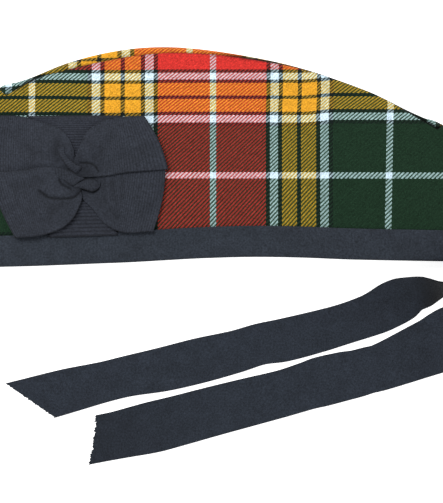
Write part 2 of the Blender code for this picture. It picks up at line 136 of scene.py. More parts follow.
Fold = namedtuple("Fold", "high_along high_up low_along low_up")
front_bow_folds = [Fold(*row) for row in (
    (0.0, 0.518, 0.148, -0.021), (0.153, 0.526, 0.25, -0.01),
    (0.278, 0.556, 0.35, 0.022), (0.358, 0.56, 0.42, 0.072), (0.42, 0.546, 0.465, 0.13),
    (0.452, 0.534, 0.5, 0.22), (0.47, 0.55, 0.52, 0.31), (0.478, 0.62, 0.508, 0.43),
    (0.506, 0.722, 0.52, 0.468), (0.55, 0.845, 0.58, 0.473), (0.636, 0.93, 0.659, 0.482),
    (0.74, 0.962, 0.79, 0.512), (0.864, 0.972, 1.0, 0.534),
)]
rear_bow_folds = [Fold(*row) for row in (
    (0.034, 0.98, 0.0, 0.47), (0.165, 0.972, 0.165, 0.43), (0.29, 0.925, 0.29, 0.425),
    (0.392, 0.869, 0.38, 0.43), (0.445, 0.79, 0.44, 0.44), (0.474, 0.69, 0.48, 0.44),
    (0.48, 0.61, 0.505, 0.4), (0.53, 0.57, 0.523, 0.3), (0.6, 0.57, 0.585, 0.205),
    (0.69, 0.59, 0.655, 0.085), (0.818, 0.6, 0.76, 0.022), (0.985, 0.59, 0.915, 0.03),
)]
back_loop_folds = [Fold(*row) for row in (
    (0.33, -0.008, 0.722, 0.01), (0.403, 0.225, 0.642, 0.225), (0.45, 0.39, 0.562, 0.39),
    (0.45, 0.54, 0.54, 0.54), (0.426, 0.68, 0.562, 0.68), (0.347, 0.845, 0.62, 0.845),
    (0.205, 0.966, 0.745, 0.966),
)]

# Creases pressed into the cockade: the piece that each is in, its depth and half width
# in metres, the shade painted along it, and the points that it runs through, in the
# cockade's shares.

Crease = namedtuple("Crease", "piece depth spread shade points")
cockade_creases = (
    Crease("front_bow", 0.0008, 0.0009, 0.75, ((0.511, 0.589), (0.568, 0.586), (0.599, 0.56),
                                               (0.614, 0.522))),
    Crease("front_bow", 0.0006, 0.0035, 0.25, ((0.605, 0.63), (0.62, 0.59), (0.622, 0.54))),
    Crease("front_bow", 0.0007, 0.0009, 0.7, ((0.392, 0.452), (0.403, 0.42), (0.46, 0.371))),
    Crease("front_bow", 0.001, 0.0009, 0.75, ((0.278, 0.359), (0.33, 0.308), (0.386, 0.297),
                                               (0.454, 0.3), (0.474, 0.308), (0.506, 0.344),
                                               (0.514, 0.367))),
    Crease("rear_bow", 0.0008, 0.003, 0.3, ((0.381, 0.746), (0.369, 0.681), (0.381, 0.616))),
    Crease("rear_bow", 0.0009, 0.0012, 0.7, ((0.521, 0.382), (0.552, 0.367), (0.583, 0.352),
                                              (0.609, 0.375), (0.619, 0.411))),
    Crease("front_bow", 0.0004, 0.0024, 0.16, ((0.59, 0.62), (0.69, 0.8))),
    Crease("front_bow", 0.0004, 0.0024, 0.14, ((0.66, 0.58), (0.86, 0.7))),
    Crease("front_bow", 0.0004, 0.0024, 0.16, ((0.41, 0.25), (0.29, 0.11))),
    Crease("front_bow", 0.0004, 0.0024, 0.14, ((0.3, 0.44), (0.13, 0.4))),
    Crease("rear_bow", 0.0004, 0.0024, 0.16, ((0.34, 0.64), (0.18, 0.72))),
    Crease("rear_bow", 0.0004, 0.0024, 0.14, ((0.33, 0.52), (0.11, 0.54))),
    Crease("rear_bow", 0.0004, 0.0024, 0.16, ((0.6, 0.3), (0.72, 0.13))),
    Crease("rear_bow", 0.0004, 0.0018, 0.25, ((0.642, 0.452), (0.648, 0.289))),
    Crease("rear_bow", 0.0004, 0.0018, 0.2, ((0.693, 0.45), (0.7, 0.3))),
    Crease("rear_bow", 0.0004, 0.0018, 0.2, ((0.744, 0.45), (0.75, 0.3))),
)

# The knot's wraps, in the same shares, with the layer that each place of a wrap lies on:
# a strip that comes down from the left, a small lozenge at the right, and a tongue that is
# tucked in from the left.

Wrap = namedtuple("Wrap", "high_along high_up low_along low_up layer")
knot_strip = [Wrap(*row) for row in (
    (0.418, 0.722, 0.381, 0.722, 2.0), (0.423, 0.673, 0.389, 0.664, 2.1),
    (0.452, 0.62, 0.412, 0.603, 2.4), (0.489, 0.579, 0.443, 0.546, 3.0),
    (0.519, 0.558, 0.477, 0.507, 3.1), (0.509, 0.526, 0.489, 0.499, 3.0),
)]
knot_lozenge = [Wrap(*row) for row in (
    (0.474, 0.403, 0.474, 0.395, 3.0), (0.506, 0.432, 0.506, 0.384, 3.1),
    (0.54, 0.456, 0.54, 0.371, 3.1), (0.574, 0.462, 0.574, 0.356, 2.8),
    (0.602, 0.452, 0.602, 0.367, 2.4), (0.625, 0.428, 0.622, 0.399, 2.0),
)]
knot_tongue = [Wrap(*row) for row in (
    (0.365, 0.55, 0.376, 0.474, 2.9), (0.426, 0.536, 0.42, 0.444, 3.0),
    (0.46, 0.522, 0.446, 0.413, 3.1), (0.489, 0.495, 0.472, 0.403, 3.2),
    (0.511, 0.477, 0.503, 0.432, 3.2), (0.533, 0.465, 0.528, 0.456, 3.2),
)]

# The cockade's loops, from the back to the front: the mesh columns and rows, the height
# of the ribs' relief in metres, and how far a bow's end rounds out, as a share of the
# cockade's length.

RibbonLoop = namedtuple("RibbonLoop", "name piece folds ribbed columns rows relief bulge")
ribbon_loops = (
    RibbonLoop("back_ribbon_loop", "back_loop", back_loop_folds, True, 1200, 24, 0.0002, 0.0),
    RibbonLoop("rear_ribbon_bow", "rear_bow", rear_bow_folds, False, 700, 40, 0.0, 0.02),
    RibbonLoop("front_ribbon_bow", "front_bow", front_bow_folds, False, 700, 40, 0.0, 0.02),
)

# Places of the crown's section, from the rim over the upper panel, its roll, the valley
# and its fold, and the lower roll to the rim again

upper_panel_end = 1.0
upper_roll_end = 2.0
fold_start = 2.7
point_start = 2.95  # the top piece's pointed ends lie between these
fold_middle = 3.0
point_end = 3.05
fold_end = 3.3
lower_roll_start = 4.0
lower_panel_start = 5.0
section_end = 6.0
seam_zone = 0.2  # the side panels turn in over this much beside a seam

# Shape of the crown. A zone is the pair of places between which something grows.

rest_share = 0.481  # part of the crown's height that lies below the origin
ridge_slope = math.radians(70.0)
upper_roll_share = 0.24  # heights of the two rolls, as shares of the section's
lower_roll_share = 0.215
mouth_share = 0.4  # most of the mouth's height that half the fold takes
end_lens = 2.2  # exponents of the lens shape seen from the rim
end_round = 0.8
rest_lens = 30.0  # and of the resting panel, flat almost to its ends
rest_round = 0.5
end_gaps = 4.0  # room in the crown's closed ends, in clearances
end_crowding = 0.7  # how much closer the columns stand at the cap's ends
pinch_reach = 0.005  # the closed ends are pinched over this length,
pinch_height = 0.006  # and from the binding up to this height
top_start = 0.0345  # the top piece's pointed ends, as shares of the length
seam_open = 0.055  # the seams have spread apart here
valley_zone = (0.0462, 0.194)
deep_seam_shade = 0.9  # painted shade in a seam where none of the top piece shows
open_seam_shade = 0.08  # and where much of it does
seam_shade_zone = (0.2, 0.6)  # by the strip's width, as a share of the widest
seam_shade_start = 0.0004  # full painted shade up to this distance from a seam
swell_rates = (26.0, 30.0, 4.1)  # waves a metre of the lying cloth's broad swells
ripple_rates = (95.0, 80.0, 9.7)  # and of its finer ripples, with each noise's slice
ripple_share = 0.35
loose_reach = 0.012  # the swells fade over this beside the binding and ridge,
loose_end_reach = 0.02  # and over this at the cap's ends

# Lay of the tartan, in metres and threads

lean_slope = 0.02  # lean of the warp towards the back seam
lean_line = 0.0234  # y at which the leaning threads keep their place
lean_zone = (0.0657, 0.1017)
ridge_shift = 0.0006  # the warp shifts this far under the ridge
ridge_shift_x_zone = (0.005, 0.04)
ridge_shift_y_zone = (0.02, 0.04)
back_rise = 0.0017  # the weft lies higher towards the back
back_rise_x_zone = (0.048, 0.069)
back_rise_y_zone = (-0.012, 0.0215)
cockade_sag = 0.0006  # and lower beside the cockade
cockade_sag_zones = ((-0.102, -0.072), (-0.051, -0.03))
cockade_sag_y_zone = (0.038, 0.056)
cockade_sag_fade = 0.6
top_rows = 88
top_row_shares = (0.0, 0.25, 0.4, 0.6, 0.75, 1.0)
top_place_shares = (0.0, 0.25, 0.42, 0.58, 0.75, 1.0)
top_thread = 0.00051  # room that one weft thread of the top piece takes
top_first_weft = 84.5  # weft thread at the seam where its y is top_first_y
top_first_y = 0.057
top_front_wefts = 2.5  # the weft runs this much further at the front
top_front_zone = (-0.127, -0.113)
top_warp_shift = 0.0141  # warp of the top piece against the side's

# Looks of the cloths: a gain and a base turn a height or a noise into brightness

bump_distance = 0.00025
wool_bump, rib_bump = 0.55, 0.40
twill_repeat = 4.0  # threads after which the twill starts again
twill_float = 1.5  # up to this step of it the warp is on top
yarn_arch = 0.45  # share of a yarn's height that its arch gives
# painted shade in the gaps between yarns: a yarn's height turned into brightness
yarn_gain, yarn_base = 0.42, 0.74
# painted shade of the twill's diagonals: the warp floats are drawn darker than the weft floats
warp_gain, warp_base = -0.12, 1.03
streak_run = 0.16  # length of the streaks along a yarn, and the steps in the
streak_warp_step = 7.31  # noise from one yarn to the next
streak_weft_step = 5.17
rib_thread_relief = 0.25  # share of a rib's height that its single threads give
# painted shade in the grooves between ribs: a rib keeps this brightness at rib_middle's height and
# is darker below it
rib_brightness = 1.04
rib_middle = 0.8  # height on a rib that keeps this brightness
darker_share = 0.98  # a thread is the darker one below this share of the other

# Shape of the ribbons

binding_inside = (0.72, 0.4)  # heights on the binding, as shares of it
binding_outside = (0.12, 0.3, 0.5, 0.7, 0.86, 0.97, 1.0)
binding_turn_in = 0.0008  # heights at which it leaves the rim's two faces
binding_turn_out = 0.0004
binding_thread = 0.0004  # room that one of the binding's warp threads takes
binding_edge = ((-1.0, 0.8), (-1.6, 0.5), (-1.0, 0.0))  # its fold: clearances below the
# rim, and depth as a share of the inner face's
selvage_threads = 60.0  # warp threads across a ribbon
gather_shade = 0.36  # painted shade of the gathers round the knot
gather_zone = (0.003, 0.016)
crease_limit = 3.0  # a crease ends at this many of its half widths
crease_room = 0.9  # deepest crease, as a share of a doubled ribbon's room
loop_turn = 0.02  # share of a loop that each of its turned ends takes
loop_bulge_power = 9
loop_steps = 40  # steps in which a loop's length is measured
# painted shade along a loop's edges, fading over this share of its width
loop_edge_shade = 0.35
loop_edge = 0.03
knot_rows = 28
knot_columns = 64
knot_ribs = 16.0
knot_threads = 24.0
knot_tucks = ((0.0, 0.35), (0.75, 1.0))  # a wrap rises and sinks over these
knot_round = 0.7
# painted shade along the wraps' edges, fading over this share of their width, and at least
# knot_shade over the whole knot
knot_edge_shade = 0.5
knot_edge = 0.25
knot_shade = 0.12
tail_columns = 300
tail_rows = 64
tail_probe = 0.0005  # distance over which a tail's heading is taken
tail_seat_zone = (0.4, 0.5)  # the tails move out to their seats here
sewn_layer = 0.001  # room that one layer takes where the tails are sewn
first_seat_gaps = 2.4  # and the first one's clearances
cut_reach = 12.0  # how fast a tail's cut straightens along the ribbon
cut_bow = 0.0012  # how far the lower tail's cut is hollowed
fray_height = 0.0016  # height of the frayed threads at a cut
fray_reach = 160.0  # how fast they end along the ribbon
fray_rates = (42.0, 7.0, 2.0)  # frayed threads across the ribbon, and the noise's slice
tail_swell = 0.0009  # soft swells of the lying tails, and the zones over which
tail_swell_zones = ((0.0, 0.05), (0.7, 0.8))  # they come and go
tail_swell_rates = (9.0, 1.4)
tail_swell_slice = 3.0
# painted shade along a tail's edges, fading over this distance
tail_edge_shade = 0.3
tail_edge = 0.0008


# Settings

def metres(name, description, default):
    return FloatProperty(name=name, description=description, default=default, min=0.0,
                         unit="LENGTH", subtype="DISTANCE", precision=4)


def tone(name, description, default):
    return FloatVectorProperty(name=name, description=description, default=default,
                               size=3, min=0.0, max=1.0, subtype="COLOR")


def ratio(name, description, default):
    return FloatProperty(name=name, description=description, default=default, min=0.0, max=1.0)


def amount_of(name, description, default, **limits):
    return FloatProperty(name=name, description=description, default=default, **limits)


class CapCrownSettings(bpy.types.PropertyGroup):
    cap_length: metres("Cap length", "Front seam to back seam", 0.291)
    crown_height: metres("Crown height", "Rim line to the top of the ridge", 0.1248)
    rim_opening: metres("Rim opening", "Height of the mouth as the cap lies", 0.030)
    ridge_height: metres("Ridge height", "Upper ridge above the table", 0.017)
    side_bulge: metres("Side bulge", "How far the upper panel domes", 0.004)
    seam_height: metres("Seam height", "Front and back seams above the table", 0.0045)
    valley_depth: metres("Valley depth", "Fold of the top piece below the ridge", 0.036)
    valley_gap: metres("Valley gap", "Width of the fold at its bottom", 0.0016)
    ridge_roll: metres("Ridge roll", "How far the cloth rolls over the ridge", 0.003)
    ridge_offset: metres("Ridge offset", "Lower ridge inside the upper one", 0.003)
    seam_sliver: metres("Seam sliver", "Widest strip of the top piece that shows", 0.0048)
    panel_wall: metres("Panel wall", "Cloth of the side panels", 0.0018)
    top_wall: metres("Top wall", "Cloth of the top piece", 0.0010)
    clearance: metres("Clearance", "Room between neighbouring pieces", 0.0003)
    seam_gap: metres("Seam gap", "Room in the groove of a seam", 0.0001)
    seam_dip: metres("Seam dip", "How deep the cloth turns in at a seam", 0.0004)
    seam_reach: metres("Seam reach", "Width over which it turns in", 0.0016)
    # the dark line beside a seam is shade painted along its groove, over this width
    seam_line: metres("Seam line", "Width of the dark line beside a seam", 0.0022)
    relief: metres("Relief", "Soft unevenness of the lying cloth", 0.0003)
    columns: IntProperty(name="Columns", description="Mesh columns along the cap",
                         default=280, min=40, max=400)
    rows: IntProperty(name="Rows", description="Mesh rows across a side panel",
                      default=104, min=20, max=160)


class CapTartanSettings(bpy.types.PropertyGroup):
    white: tone("White threads", "Pale blue-white stripes", (0.62, 0.78, 0.89))
    yellow: tone("Yellow threads", "Golden stripes", (0.715, 0.332, 0.0235))
    red: tone("Red threads", "Red blocks", (0.575, 0.031, 0.025))
    green: tone("Green threads", "Dark green blocks", (0.0096, 0.0275, 0.0140))
    black: tone("Black threads", "Blue-black edging lines", (0.006, 0.011, 0.010))
    # painted bounce light and shade between crossing threads: the share of colour that a thread
    # takes from the ones it crosses, and the brightness to which a dark thread among bright ones is
    # drawn down
    bright_tint: ratio("Bright tint", "Share of dark threads' colour in bright ones", 0.17)
    dark_tint: ratio("Dark tint", "Share of bright threads' colour in dark ones", 0.33)
    dark_level: ratio("Dark level", "Brightness of dark threads between bright ones", 0.72)


class CapRibbonSettings(bpy.types.PropertyGroup):
    band_width: metres("Binding width", "Height of the rim binding", 0.0174)
    band_wall: metres("Binding wall", "Thickness of the rim binding", 0.0008)
    cockade_inset: metres("Cockade inset", "Front seam to the cockade", 0.0078)
    cockade_length: metres("Cockade length", "Cockade along the cap", 0.1056)
    cockade_height: metres("Cockade height", "Cockade across the cap", 0.0735)
    cockade_rise: metres("Cockade rise", "Lower edge to the knot's middle", 0.0345)
    cockade_seat: metres("Cockade seat", "Rim line to the lower edge", 0.0118)
    cockade_layer: metres("Cockade layer", "Room that one doubled ribbon takes", 0.0017)
    cockade_ply: metres("Cockade ply", "Thickness of the cockade's ribbon", 0.00042)
    cockade_loft: metres("Cockade loft", "How far the bows puff up", 0.0022)
    knot_rise: metres("Knot rise", "Knot's wraps above the bows", 0.0012)
    ribbon_width: metres("Tail width", "Width of the tail ribbon", 0.0285)
    ribbon_wall: metres("Tail wall", "Thickness of the tail ribbon", 0.0008)
    bow_rib: metres("Bow rib", "Pitch of the bows' ribs", 0.0009)
    loop_rib: metres("Loop rib", "Pitch of the back loop's ribs", 0.00155)
    fine_rib: metres("Fine rib", "Pitch of the binding's and tails' ribs", 0.0009)
    cut_slant_upper: amount_of("Upper cut", "Slant of the upper tail's cut", -0.86)
    cut_slant_lower: amount_of("Lower cut", "Slant of the lower tail's cut", 0.35)
    binding_colour: tone("Binding", "Black binding", (0.0205, 0.0255, 0.0345))
    cockade_colour: tone("Cockade", "Black cockade ribbon", (0.0205, 0.0238, 0.0325))
    loop_colour: tone("Back loop", "Black ribbed ribbon", (0.0198, 0.0225, 0.0312))
    tail_colour: tone("Tails", "Black tail ribbon", (0.0168, 0.0215, 0.0305))


class CapStageSettings(bpy.types.PropertyGroup):
    view_height: metres("View height", "Length that the picture's height covers", 0.3018)
    camera_distance: metres("Camera distance", "Camera above the cap", 5.0)
    focus_plane: metres("Focus plane", "Height at which the scale is exact", 0.012)
    floor_size: metres("Floor size", "Side of the floor", 8.0)
    floor_colour: tone("Floor", "Pale floor", (0.93, 0.93, 0.93))
    floor_glow: amount_of("Floor glow", "Light of the paper itself", 0.80, min=0.0)
    sky_strength: amount_of("Sky strength", "Even light from all round", 0.62, min=0.0)
    key_power: amount_of("Key power", "Large soft lamp, upper left", 30.0,
                         min=0.0, subtype="POWER")
    fill_power: amount_of("Fill power", "Soft lamp, lower right", 9.0,
                          min=0.0, subtype="POWER")


# Curves and helpers

def clamp(value, low, high):
    return max(low, min(high, value))


def mix(a, b, amount):
    return a + (b - a) * amount


def ease(value, start, end):
    amount = clamp((value - start) / (end - start), 0.0, 1.0)
    return amount * amount * (3.0 - 2.0 * amount)


class SmoothCurve:
    """A smooth curve through values at rising knots, straight on past its ends if asked."""

    def __init__(self, knots, values, run_on=False):
        self.knots = list(knots)
        self.values = list(values)
        self.run_on = run_on
        last = len(self.knots) - 1
        self.slopes = []
        for k in range(last + 1):
            before = max(k - 1, 0)
            after = min(k + 1, last)
            rise = self.values[after] - self.values[before]
            self.slopes.append(rise / (self.knots[after] - self.knots[before]))

    def __call__(self, at):
        knots = self.knots
        if self.run_on and at < knots[0]:
            return self.values[0] + (at - knots[0]) * self.slopes[0]
        if self.run_on and at > knots[-1]:
            return self.values[-1] + (at - knots[-1]) * self.slopes[-1]
        at = clamp(at, knots[0], knots[-1])
        i = 0
        while i < len(knots) - 2 and at > knots[i + 1]:
            i += 1
        span = knots[i + 1] - knots[i]
        amount = (at - knots[i]) / span
        a2 = amount * amount
        a3 = a2 * amount
        return (self.values[i] * (2 * a3 - 3 * a2 + 1)
                + self.slopes[i] * span * (a3 - 2 * a2 + amount)
                + self.values[i + 1] * (3 * a2 - 2 * a3)
                + self.slopes[i + 1] * span * (a3 - a2))


def column_curves(rows, knots):
    """A smooth curve for each named column of a table."""
    return {name: SmoothCurve(knots, column)
            for name, column in zip(rows[0]._fields, zip(*rows))}


def from_end(along):
    """Distance to the nearer end of the cap, as a share of its length."""
    return min(along, 1.0 - along)


def crowded(share):
    """Even shares moved closer together at the cap's ends."""
    return share - end_crowding * math.sin(2.0 * math.pi * share) / (2.0 * math.pi)


def waves(x, y, rates):
    return noise.noise(Vector((x * rates[0], y * rates[1], rates[2])))


class CrownForm:
    """The folded crown's shape, worked out from the crown's settings, which it copies."""

    def __init__(self, scene):
        for name in CapCrownSettings.__annotations__:
            setattr(self, name, getattr(scene.cap_crown, name))
        self.band_width = scene.cap_ribbons.band_width
        self.band_wall = scene.cap_ribbons.band_wall
        self.rim_line = -rest_share * self.crown_height
        self.end_half = self.panel_wall + self.clearance * end_gaps
        along, ridge, rim = zip(*crown_stations)
        self.ridge_curve = SmoothCurve(along, ridge)
        self.rim_curve = SmoothCurve(along, rim)
        self.sliver_curve = SmoothCurve(*zip(*ridge_slivers))

    def x_at(self, along):
        return (along - 0.5) * self.cap_length

    def along_at(self, x):
        return clamp(x / self.cap_length + 0.5, 0.0, 1.0)

    def rim_y(self, along):
        return self.rim_line + self.crown_height * self.rim_curve(along)

    def ridge_y(self, along):
        return self.rim_line + self.crown_height * self.ridge_curve(along)

    def lens(self, along, power=end_lens, roundness=end_round):
        """Share of the full height that the crown has between its closed ends."""
        return max(1.0 - abs(2.0 * along - 1.0) ** power, 0.0) ** roundness

    def half_end(self, along, over_band):
        """Half height of the crown's end, pinched to a sewn seam above the binding."""
        pinch = 1.0 - ease(from_end(along) * self.cap_length, 0.0, pinch_reach)
        pinch *= ease(over_band, 0.0, pinch_height)
        return mix(self.end_half, self.panel_wall + self.clearance * 0.5, pinch)

    def upper_height(self, along, up):
        """Outer height of the upper panel; up runs from the rim (0) to the ridge (1)."""
        full = (self.rim_opening + self.side_bulge * math.sin(math.pi * up)
                - (self.rim_opening - self.ridge_height) * up * up)
        over_band = up * (self.ridge_y(along) - self.rim_y(along)) - self.band_width
        low = self.seam_height + self.half_end(along, over_band)
        return low + (full - low) * self.lens(along)

    def lower_height(self, along, y=None):
        """Outer height of the resting panel, lifted near the rim by the binding under it."""
        lift = 0.0
        over = self.crown_height
        if y is not None:
            over = y - self.rim_y(along) - self.band_width
            edge_lift = self.band_wall + self.clearance * 2.0
            lift = edge_lift * (1.0 - ease(over, self.band_width * 0.1, self.band_width))
        low = self.seam_height - self.half_end(along, over)
        return max(mix(low, 0.0, self.lens(along, rest_lens, rest_round)), lift)

    def folded_point(self, along, place):
        """Section of the folded crown, with the valley between the ridges."""
        top = self.upper_height(along, 1.0)
        low = self.lower_height(along)
        height = top - low
        out = self.ridge_y(along)
        roll = self.ridge_roll
        roll_z = upper_roll_share * height
        roll_y = out - roll
        start = roll_y + roll * math.cos(ridge_slope)
        roll_mid = top - roll_z * math.sin(ridge_slope)
        low_roll_z = lower_roll_share * height
        low_roll_y = out - self.ridge_offset - roll
        if place <= upper_panel_end:
            return mix(self.rim_y(along), start, place), self.upper_height(along, place)
        if place <= upper_roll_end:
            turn = mix(ridge_slope, -ridge_slope, place - upper_panel_end)
            return roll_y + roll * math.cos(turn), roll_mid + roll_z * math.sin(turn)
        mouth_top = roll_mid - roll_z * math.sin(ridge_slope)
        mouth_low = low + low_roll_z * (1.0 + math.sin(ridge_slope))
        half = min(self.valley_gap * 0.5, (mouth_top - mouth_low) * mouth_share)
        fold_z = (mouth_top + mouth_low) * 0.5
        fold_y = out - self.valley_depth * self.lens(along)
        if place < fold_start:
            amount = (place - upper_roll_end) / (fold_start - upper_roll_end)
            return mix(start, fold_y, amount), mix(mouth_top, fold_z + half, amount)
        if place <= fold_end:
            turn = math.pi * (place - fold_start) / (fold_end - fold_start)
            return fold_y - half * math.sin(turn), fold_z + half * math.cos(turn)
        if place < lower_roll_start:
            low_start = low_roll_y + roll * math.cos(ridge_slope)
            amount = (place - fold_end) / (lower_roll_start - fold_end)
            return mix(fold_y, low_start, amount), mix(fold_z - half, mouth_low, amount)
        if place <= lower_panel_start:
            turn = mix(ridge_slope, -math.pi / 2.0, place - lower_roll_start)
            return (low_roll_y + roll * math.cos(turn),
                    low + low_roll_z * (1.0 + math.sin(turn)))
        y = mix(low_roll_y, self.rim_y(along), place - lower_panel_start)
        return y, self.lower_height(along, y=y)

    def closed_point(self, along, place):
        """Section of the crown's closed ends, with no valley between the ridges."""
        top = self.upper_height(along, 1.0)
        low = self.lower_height(along)
        half = (top - low) * 0.5
        middle = self.ridge_y(along) - half
        if place <= upper_panel_end:
            return mix(self.rim_y(along), middle, place), self.upper_height(along, place)
        if place <= lower_panel_start:
            share = (place - upper_panel_end) / (lower_panel_start - upper_panel_end)
            turn = mix(math.pi / 2.0, -math.pi / 2.0, share)
            return middle + half * math.cos(turn), low + half * (1.0 + math.sin(turn))
        y = mix(middle, self.rim_y(along), place - lower_panel_start)
        return y, self.lower_height(along, y=y)

    def point(self, along, place):
        y1, z1 = self.closed_point(along, place)
        y2, z2 = self.folded_point(along, place)
        share = ease(from_end(along), *valley_zone)
        return Vector((self.x_at(along), mix(y1, y2, share), mix(z1, z2, share)))

    def normal(self, along, place):
        """Outward direction of the crown's face."""
        near = 0.002
        front = self.point(clamp(along - near, 0.0, 1.0), place)
        back = self.point(clamp(along + near, 0.0, 1.0), place)
        before = self.point(along, max(place - near, 0.0))
        after = self.point(along, min(place + near, section_end))
        return (back - front).cross(after - before).normalized()

    def step(self, along, place, distance):
        """Change of place that moves a point by a distance along the section."""
        small = 0.001
        run = (self.point(along, place + small) - self.point(along, place - small)).length
        return distance * 2.0 * small / max(run, 1e-9)

    def upper_seam(self, along):
        """Place of the seam between the upper panel and the top piece."""
        sliver = self.seam_sliver * max(self.sliver_curve(along), 0.0)
        on_panel = self.ridge_roll * (1.0 - math.cos(ridge_slope))
        if sliver >= on_panel:
            length = self.ridge_y(along) - on_panel - self.rim_y(along)
            seam = upper_panel_end - (sliver - on_panel) / length
        else:
            turn = math.acos(1.0 - sliver / self.ridge_roll)
            seam = upper_panel_end + (ridge_slope - turn) / (2.0 * ridge_slope)
        return mix(point_start, seam, ease(from_end(along), top_start, seam_open))

    def lower_seam(self, along):
        opened = ease(from_end(along), top_start, seam_open)
        return mix(point_end, lower_panel_start, opened)

    def seam_groove(self, along, distance):
        """Depth of the groove at a distance from a seam, and the shade painted into it,
        darkest where little of the top piece shows."""
        depth = self.seam_dip * (1.0 - ease(distance, 0.0, self.seam_reach))
        shade = mix(deep_seam_shade, open_seam_shade,
                    ease(self.sliver_curve(along), *seam_shade_zone))
        return depth, shade * (1.0 - ease(distance, seam_shade_start, self.seam_line))

    def surface(self, x, y):
        """Outer height of the upper panel, or of the binding on it, over a point."""
        along = self.along_at(x)
        edge = self.rim_y(along)
        up = clamp((y - edge) / (self.ridge_y(along) - edge), 0.0, 1.0)
        over = y - edge - self.band_width
        over_band = 1.0 - ease(over, self.clearance, self.band_width * 0.5)
        return (self.upper_height(along, up) + (self.band_wall + self.clearance) * over_band
                + self.panel_relief(x, y))

    def panel_relief(self, x, y):
        """Unevenness of the upper panel, none where the binding holds it."""
        along = self.along_at(x)
        over = y - self.rim_y(along) - self.band_width
        under_ridge = self.ridge_y(along) - y
        free = (ease(over, 0.0, loose_reach) * ease(under_ridge, 0.0, loose_reach)
                * ease(from_end(along) * self.cap_length, 0.0, loose_end_reach))
        return free * self.relief * (waves(x, y, swell_rates)
                                     + ripple_share * waves(x, y, ripple_rates))


class Cloth:
    """A piece of cloth, made of grids whose points a function puts in place. The function
    takes the shares along and across, and gives the point, its two weave coordinates and
    the shade painted on it there."""

    def __init__(self, name):
        self.name = name
        self.bm = bmesh.new()
        self.weave_layer = self.bm.loops.layers.uv.new("weave")
        self.shade_layer = self.bm.verts.layers.float.new("fold_shade")

    def add_grid(self, across, along, place_point):
        made = bmesh.ops.create_grid(self.bm, x_segments=along, y_segments=across, size=0.5)
        weave = {}
        for vertex in made["verts"]:
            point, threads, shade = place_point(vertex.co.x + 0.5, vertex.co.y + 0.5)
            vertex.co = point
            vertex[self.shade_layer] = shade
            weave[vertex] = threads
        for face in {face for vertex in made["verts"] for face in vertex.link_faces}:
            for loop in face.loops:
                loop[self.weave_layer].uv = weave[loop.vert]

    def close_ring(self):
        bmesh.ops.remove_doubles(self.bm, verts=self.bm.verts, dist=0.00001)

    def make(self, finish):
        mesh = bpy.data.meshes.new(self.name)
        self.bm.to_mesh(mesh)
        self.bm.free()
        mesh.materials.append(finish)
        made = bpy.data.objects.new(self.name, mesh)
        bpy.context.scene.collection.objects.link(made)
        mesh.shade_smooth()
        return made


def cloth_grid(name, across, along, place_point, finish):
    cloth = Cloth(name)
    cloth.add_grid(across, along, place_point)
    return cloth.make(finish)


def fit(piece, node, thickness, side, even=True):
    """Gives a sheet its wall, on the side of its normals (1) or behind them (-1), and
    puts it on the cap in the place of a CAD node."""
    wall = piece.modifiers.new("wall", "SOLIDIFY")
    wall.thickness = thickness
    wall.offset = side
    wall.use_even_offset = even
    wall.use_rim = True
    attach(piece, "root")
    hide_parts(node)
    return piece


# Finishes

def set_inputs(node, **values):
    """Sets a node's inputs by their names, written with underscores."""
    for name, value in values.items():
        node.inputs[name.replace("_", " ")].default_value = value


